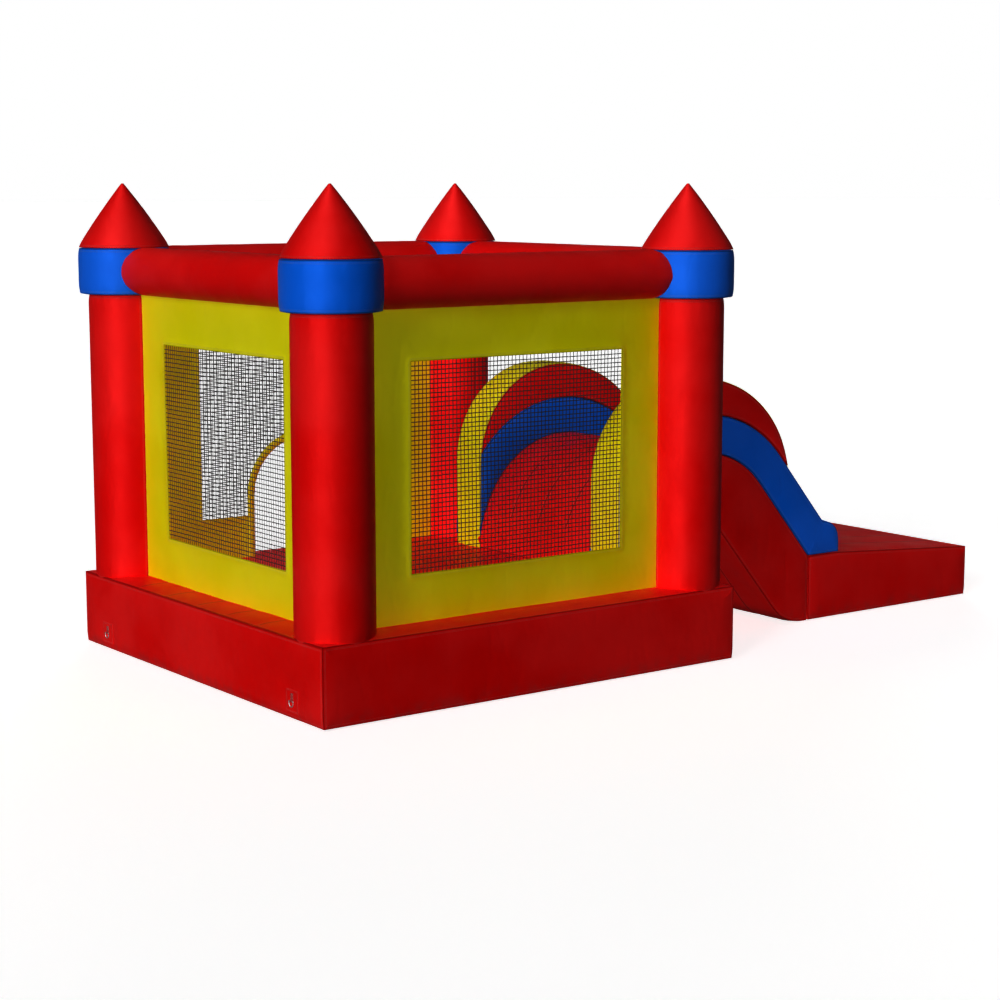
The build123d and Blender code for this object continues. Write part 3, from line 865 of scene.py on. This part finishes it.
def make_net(side):
    """Netting of woven cords that pass over and under each other, held in the wall's hem."""
    node, axis = f"net_{side}", WALLS[side]
    low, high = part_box(node)
    middle = (low[axis] + high[axis]) / 2
    loop = flat_loops(node, axis)[0]
    spans = ((low[1 - axis], high[1 - axis]), (low.z, high.z))
    held, wander = 0.003, 0.0011
    made, total = Builder(), 0.0
    for fixed, (start, end) in enumerate(spans):
        count = round((end - start) / MESH_PITCH)
        for k in range(1, count):
            at = start + (end - start) * k / count
            cuts = crossings(loop, fixed, at + 1e-6)
            for a, b in zip(cuts[::2], cuts[1::2]):
                a, b = a - held, b + held
                n = 2 * max(2, round((b - a) / MESH_PITCH))
                run = np.linspace(a, b, n + 1)
                step = np.arange(n + 1)
                drift = wander * np.sin(run * rng.uniform(5, 9) + rng.uniform(0, PHASES))
                drift += rng.normal(0, 0.0003, n + 1)
                line = np.stack([at + drift, run] if fixed == 0 else [run, at + drift], 1)
                weave = np.where(step % 2 == 0, (-1.0) ** (step // 2 + k + fixed), 0.0) * wander
                depth = billow(side, line) + weave
                rows = []
                for wide, thick in ((1, 0), (0, 1), (-1, 0), (0, -1)):
                    moved = line.copy()
                    moved[:, fixed] += wide * CORD_WIDTH / 2
                    rows.append(upright_points(axis, middle, moved, depth + thick * CORD_THICK / 2))
                made.bar(np.stack(rows, 1))
                total += b - a
    piece = made.piece(f"{side}_net", NET, "black_net", node, crease=math.radians(70))


def make_door_trim():
    """Padded band round the doorway, crowned on both sides and bound along its edges."""
    low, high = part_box("door_trim")
    edge_half, middle_half, count = 0.0045, 0.0118, 220
    edges = []
    for line in sorted(runs(flat_loops("door_trim")[0]), key=run_length)[:-3:-1]:
        points, _, at = resample(line[::-1] if line[0, 0] > line[-1, 0] else line, 0.02)
        edges.append(between(np.linspace(0, 1, count) * at[-1], at, points))
    outer, inner = edges
    width = np.linalg.norm(outer - inner, axis=1).mean()
    centre = (outer + inner) / 2
    along = distances(centre)[:, None]
    across = np.concatenate([[0.0, 0.03, 0.08, 0.15], np.linspace(0.22, 0.78, 9), [0.85, 0.92, 0.97, 1.0]])
    away = np.minimum(across, 1 - across) * width
    half = edge_half + (middle_half - edge_half) * shape_in(away, 0.026) + Pucker(0.0022)(along, away)
    half -= 0.0008 * np.exp(-(((away - 0.0045) / 0.002) ** 2))
    flat = outer[:, None] + (inner - outer)[:, None] * across[:, None]
    sides = [stacked(flat[..., 0], (low.y + high.y) / 2 + way * half, flat[..., 1]) for way in (-1.0, 1.0)]
    made = Builder()
    # the 6 mm added to away halves the painted seam shade along the band's edges and moves the stitch rows
    # in
    made.slab(*sides, stacked(along, away + 0.006))
    air_piece(made, "doorway_trim", YELLOW, "yellow_vinyl", "door_trim")


def make_webs(node, places):
    """Thin fabric webs with round air holes, a little smaller than the chamber they sit in."""
    outer, *holes = flat_loops(node)
    loops = [evened(outer, 0.05, inset=0.011), *holes]
    filling = fill_ring(loops[0], holes, step=0.09, rows=(0.02, 0.06))
    thick = 0.0016
    made = Builder()
    for y in places:
        shift = rng.uniform(0, PHASES, 2)

        def off(points):
            return 0.004 * np.sin(7 * points[:, 0] + shift[0]) * np.sin(9 * points[:, 1] + shift[1])

        two_sided(made, 1, y, loops, filling, off, lambda points: np.full(len(points), thick))
    piece = made.piece(f"{node}_cloth", WEB_FABRIC, "inner_web", node, crease=math.radians(40))


# ---- small fittings ---------------------------------------------------------------------
def make_sleeve():
    """Fabric air inlet, tied in a little by its strap and hemmed at its mouth."""
    low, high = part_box("air_inlet_sleeve")
    strap_low, strap_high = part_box("inlet_strap")
    x, z, radius = (low.x + high.x) / 2, (low.z + high.z) / 2, (high.x - low.x) / 2
    tie, half = (strap_low.y + strap_high.y) / 2, (strap_high.y - strap_low.y) / 2
    sewn_in, thick, hem_thick, hem_width, top_seam = 0.02, 0.003, 0.0015, 0.033, 1.9
    ys = np.linspace(low.y - sewn_in, high.y, 96)[:, None]
    angles = np.linspace(0, TURN, 181)
    folds = sum(a * np.sin(n * angles + p + 2.0 * ys)
                for n, p, a in ((7, 0.3, 0.5), (11, 2.1, 0.4), (16, 4.0, 0.35), (23, 1.2, 0.2)))
    free = 1 - np.exp(-np.clip(np.abs(ys - tie) - half, 0, None) / 0.05)
    base = 1 - np.exp(-np.clip(ys - low.y, 0, None) / 0.02)
    mouth = np.clip((high.y - ys) / 0.06, 0.35, 1)
    outer = radius - 0.0015 + (0.0036 * folds + 0.002) * free * base * mouth
    inner = outer - thick - hem_thick * (ys > high.y - hem_width)
    r = np.concatenate([outer, inner[::-1], outer[:1]])
    rows = np.concatenate([ys, ys[::-1], ys[:1]])
    away = np.minimum(np.clip(rows - low.y, 0, None), high.y - rows)
    lengthwise = np.abs((angles - top_seam + np.pi) % TURN - np.pi) * radius
    along = np.where(lengthwise < away, rows, angles * radius)
    made = Builder()
    made.grid(stacked(x + r * np.cos(angles), rows, z + r * np.sin(angles)),
              stacked(along, np.minimum(away, lengthwise)))
    piece = made.piece("inlet_sleeve_cloth", RED, "sleeve_vinyl", "air_inlet_sleeve")

    band = Builder()
    inside = (strap_high.x - strap_low.x) / 2 - 0.0032
    edge = ((0.0, 0.0), (0.0026, 0.0006), (0.0031, 0.002), (0.0026, 0.004))    # (up, in from the edge)
    profile = [(inside + up, sign * (half - across)) for sign in (-1, 1) for up, across in edge[::-sign]]
    r, y = np.array(profile).T
    angles = np.linspace(0, TURN, 145)[:, None]
    band.grid(stacked(x + r * np.cos(angles), tie + y, z + r * np.sin(angles)), wrap=True)
    band.piece("inlet_strap_webbing", BLACK_WEBBING, "black_webbing", "inlet_strap", crease=math.radians(50))


def stitch(made, place, out, way, half=0.0015, radius=0.0005):
    """One stitch of thread that lies on a face: its middle, the way out of the face and its own way."""
    place, out, way = Vector(place), Vector(out), Vector(way)
    side = out.cross(way)
    points = []
    for share, wide, sunk in ((-1.0, 0.35, 0.0003), (-0.5, 1.0, 0.0), (0.5, 1.0, 0.0), (1.0, 0.35, 0.0003)):
        for k in range(6):
            turn = k * TURN / 6
            across, up = math.cos(turn) * radius * wide, math.sin(turn) * radius * wide - sunk
            points.append(place + way * share * half + side * across + out * up)
    made.bar(np.array(points).reshape(4, 6, 3))


def rounded(u, v, half, corner):
    """Square points pulled in to a square with rounded corners."""
    over_u, over_v = (np.clip(np.abs(w) - half + corner, 0, None) for w in (u, v))
    pull = corner / np.maximum(np.hypot(over_u, over_v), corner)
    return [np.sign(w) * (np.minimum(np.abs(w), half - corner) + over * pull)
            for w, over in ((u, over_u), (v, over_v))]


def add_patch(made, bar, outward):
    """Reinforcing patch behind a ring whose straight bar has its middle at bar."""
    standoff, thick, sunk, half, corner = 0.013, 0.003, 0.006, 0.09, 0.016
    inner = np.linspace(-half + 0.01, half - 0.01, 19)
    grid = np.concatenate([[-half, -half + 0.003], inner, [half - 0.003, half]])
    y, z = rounded(*np.meshgrid(grid, grid), half, corner)
    edge_y, edge_z = half - np.abs(y), half - np.abs(z)
    gap = np.clip(np.minimum(edge_y, edge_z), 0, None)
    top = thick - 0.0012 * (1 - shape_in(gap, 0.004))
    top += 0.0006 * np.sin(90 * y + 3 * outward) * np.sin(80 * z) * shape_in(gap, 0.03)
    front, back = (stacked(bar.x + outward * (up - standoff), bar.y + y, bar.z + z) for up in (top, -sunk))
    # the 9 mm added to the gap keeps the painted seam shade faint round the patch's edge
    made.slab(front, back, stacked(np.where(edge_y < edge_z, z, y), gap + 0.009))


def add_loop(made, bar, outward):
    """Webbing loop that goes round a ring's bar and back up the patch, drawn from its side."""
    wrap = 0.00575
    path = [(-0.0092, 0.060), (-0.0092, 0.030), (-0.0092, 0.012), (-0.0086, 0.004), (-0.0066, -0.0005)]
    path += [(wrap * math.cos(a), wrap * math.sin(a)) for a in np.radians(np.linspace(205, 475, 19))]
    path += [(-0.0050, 0.0075), (-0.0066, 0.013), (-0.0071, 0.022), (-0.0072, 0.040), (-0.0072, 0.057)]
    path = np.array(path)
    way = np.gradient(path, axis=0)
    way /= np.linalg.norm(way, axis=1)[:, None]
    side = np.stack([-way[:, 1], way[:, 0]], 1)
    rows = []
    for across, up in ((-0.018, 0.0), (-0.0172, 0.0009), (0.0172, 0.0009), (0.018, 0.0),
                       (0.0172, -0.0009), (-0.0172, -0.0009)):
        moved = path + side * up
        rows.append(stacked(bar.x + outward * moved[:, 0], bar.y + across, bar.z + moved[:, 1]))
    made.bar(np.stack(rows, 1))


def add_box_stitching(made, bar, outward):
    """Thread that holds a webbing loop: a box with both diagonals, as (y, z) places round the bar."""
    face, pitch = 0.0063, 0.0042
    corners = np.array([(-0.0145, 0.016), (0.0145, 0.016), (0.0145, 0.054), (-0.0145, 0.054)])
    for first, second in ((0, 1), (1, 2), (2, 3), (3, 0), (0, 2), (1, 3)):
        a, b = corners[first], corners[second]
        length = np.linalg.norm(b - a)
        count = int(length / pitch)
        for k in range(count):
            middle = a + (b - a) * (k + 0.5) / count
            stitch(made, bar + Vector((-face * outward, *middle)), (outward, 0, 0), (0, *((b - a) / length)))


def make_anchors():
    """Patch, webbing loop and thread at each anchor ring."""
    patches, loops, thread = Builder(), Builder(), Builder()
    for name in RINGS:
        low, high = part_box(name)
        bar = Vector(((low.x + high.x) / 2, (low.y + high.y) / 2, high.z - (high.x - low.x) / 2))
        outward = 1.0 if low.x > 0 else -1.0
        add_patch(patches, bar, outward)
        add_loop(loops, bar, outward)
        add_box_stitching(thread, bar, outward)
    patches.piece("anchor_patch_cloth", RED, "red_vinyl", "anchor_patches", crease=math.radians(40))
    loops.piece("anchor_loop_webbing", RED_WEBBING, "red_webbing", crease=math.radians(50))
    thread.piece("anchor_loop_thread", WHITE_THREAD, "inner_web", crease=math.radians(60))


def make_zip_tapes():
    """Two woven tapes with a bead along the coil, and the thread that sews them down."""
    low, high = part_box("zip_tapes")
    middle = (low.z + high.z) / 2
    slit, thread_up, pitch = 0.0029, 0.0016, 0.0052
    tapes, thread = Builder(), Builder()
    xs = np.linspace(low.x, high.x, 140)
    for inner, outer in ((middle - slit, low.z), (middle + slit, high.z)):
        rows = []
        for share, up in ((0.0, 0.0006), (0.0, 0.0017), (0.12, 0.0020), (0.2, 0.0014), (0.85, 0.0014),
                          (0.93, 0.0018), (1.0, 0.0012), (1.0, 0.0), (0.5, 0.0)):
            wave = 0.0002 * np.sin(xs * 47 + inner * 900) * (share > 0.1 and up > 0)
            rows.append(stacked(xs, low.y + up + wave, inner + (outer - inner) * share))
        tapes.bar(np.stack(rows, 1))
    tapes.piece("zip_tape_cloth", TAPE, "zip_fabric", "zip_tapes", crease=math.radians(50))
    for sign in (-1, 1):
        row = middle + sign * 0.62 * (high.z - middle)
        for x in np.arange(low.x + 0.006, high.x - 0.005, pitch):
            stitch(thread, (x, low.y + thread_up, row), (0, 1, 0), (1, 0, 0), 0.0019)
        for end in (low.x + 0.004, high.x - 0.004):
            for z in np.arange(0.006, high.z - middle - 0.003, pitch):
                stitch(thread, (end, low.y + thread_up, middle + sign * z), (0, 1, 0), (0, 0, 1), 0.0019)
    thread.piece("zip_tape_thread", GREY_THREAD, "zip_fabric", crease=math.radians(60))


def make_zip_teeth():
    """The coil's teeth as rounded blobs between two squarer stops."""
    low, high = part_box("zip_coil")
    middle = (low.z + high.z) / 2
    pitch, stop = 0.0028, 0.010
    made = Builder()
    # each blob is (x, y, its half sizes along x, y and z, how square it is)
    blobs = [(x, low.y + 0.0021, 0.0012, 0.0019, 0.0030, 2.6)
             for x in np.arange(low.x + stop + pitch, high.x - stop - pitch / 2, pitch)]
    blobs += [(x, low.y + 0.0030, 0.0050, 0.0030, 0.0030, 5.0)
              for x in (low.x + stop / 2, high.x - stop / 2)]
    rise, turn = np.linspace(-1, 1, 7)[:, None] * math.pi / 2, np.linspace(0, TURN, 9)[:-1]
    for x, y, a, b, c, power in blobs:
        level, up, across, deep = (np.sign(w) * np.abs(w) ** (2.0 / power)
                                   for w in (np.cos(rise), np.sin(rise), np.cos(turn), np.sin(turn)))
        made.grid(stacked(x + a * level * across, y + b * level * deep, middle + c * up), wrap=True)
    made.piece("zip_coil_teeth", BLACK_PLASTIC, "zip_plastic", "zip_coil", crease=math.radians(60))


def finish_cad_nodes():
    """Materials of the CAD nodes that stay: metal and plastic."""
    looks = {"zip_slider": NICKEL, "zip_pull": NICKEL, "inlet_buckle": BLACK_PLASTIC}
    looks.update({name: STEEL for name in RINGS})
    for node, material in looks.items():
        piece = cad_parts[node]
        piece.data.materials.clear()
        piece.data.materials.append(material)


# ---- floor, light and camera --------------------------------------------------------------
WHITE = (1.0, 1.0, 1.0)
LIGHTS = (
    # name, the way towards it, spread in degrees, power, casts shadows, lights surfaces, shows in gloss
    ("key", (-0.83, -0.42, 0.37), 14.0, 0.60, True, True, True),
    ("key_wrap", (-0.83, -0.42, 0.37), 14.0, 1.58, False, True, False),
    ("far_side", (0.597, 0.802, 0.05), 30.0, 2.3, True, True, False),
    ("low_gloss", (-0.843, -0.504, -0.10), 40.0, 3.4, False, False, True),
    ("high_gloss", (-0.46, -0.157, 0.869), 40.0, 3.1, False, False, True),
)


def make_ground():
    """Pale floor that looks brighter than the light it throws back on the object."""
    size = 400.0
    corners = [(-size, -size, 0), (size, -size, 0), (size, size, 0), (-size, size, 0)]
    mesh = bpy.data.meshes.new("studio_floor")
    mesh.from_pydata(corners, [], [range(4)])
    ground = bpy.data.objects.new("studio_floor", mesh)
    ground.location.z = -0.002
    bpy.context.scene.collection.objects.link(ground)
    s = Shader("studio_white", Roughness=0.9, Specular_IOR_Level=0.0, Emission_Color=WHITE)
    seen = s.node("ShaderNodeLightPath").outputs["Is Camera Ray"]
    base = s.tint(seen, (0.28, 0.28, 0.28), (0.9, 0.9, 0.9))
    mesh.materials.append(s.set(Base_Color=base, Emission_Strength=s.maths("MULTIPLY", seen, 0.66)))


def make_light():
    """White surroundings that light the object only a little, and five suns from two sides."""
    scene = bpy.context.scene
    scene.view_settings.view_transform = "Standard"
    scene.view_settings.gamma = 0.75
    scene.world = bpy.data.worlds.new("studio")
    scene.world.use_nodes = True
    tree = scene.world.node_tree
    back = tree.nodes["Background"]
    back.inputs["Color"].default_value = (*WHITE, 1.0)
    path = tree.nodes.new("ShaderNodeLightPath")
    level = tree.nodes.new("ShaderNodeMapRange")
    level.inputs["To Min"].default_value = 0.09
    level.inputs["To Max"].default_value = 1.0
    tree.links.new(path.outputs["Is Camera Ray"], level.inputs["Value"])
    tree.links.new(level.outputs["Result"], back.inputs["Strength"])
    for name, toward, spread, power, shadow, diffuse, glossy in LIGHTS:
        data = bpy.data.lights.new(name, "SUN")
        data.angle, data.energy, data.use_shadow = math.radians(spread), power, shadow
        lamp = bpy.data.objects.new(name, data)
        lamp.rotation_mode = "QUATERNION"
        lamp.rotation_quaternion = Vector(toward).normalized().to_track_quat("Z", "Y")
        lamp.visible_diffuse, lamp.visible_glossy = diffuse, glossy
        scene.collection.objects.link(lamp)


def make_camera():
    """Camera in front and to the left, as high as the roofs' tips."""
    data = bpy.data.cameras.new("view")
    data.lens, data.sensor_width = 76.8, 36.0
    data.clip_end = 500.0
    camera = bpy.data.objects.new("view", data)
    camera.location = (-9.892, -14.672, 3.913)
    yaw, pitch = 0.9316, -0.1475
    look = Vector((math.cos(pitch) * math.cos(yaw), math.cos(pitch) * math.sin(yaw), math.sin(pitch)))
    camera.rotation_mode = "QUATERNION"
    camera.rotation_quaternion = look.to_track_quat("-Z", "Y")
    bpy.context.scene.collection.objects.link(camera)
    bpy.context.scene.camera = camera


make_ground()
make_light()
make_camera()
for corner in CORNERS:
    make_corner(corner)
for side in ("front", "back", "left", "right"):
    make_beam(side)
make_webbed()
for side in ("front", "back"):
    make_side(side)
for side in WALLS:
    make_wall(side)
    make_net(side)
make_door_trim()
for _, webs, count, *_ in WEBBED:
    make_webs(webs, web_places(webs, count))
make_sleeve()
make_anchors()
make_zip_tapes()
make_zip_teeth()
finish_cad_nodes()
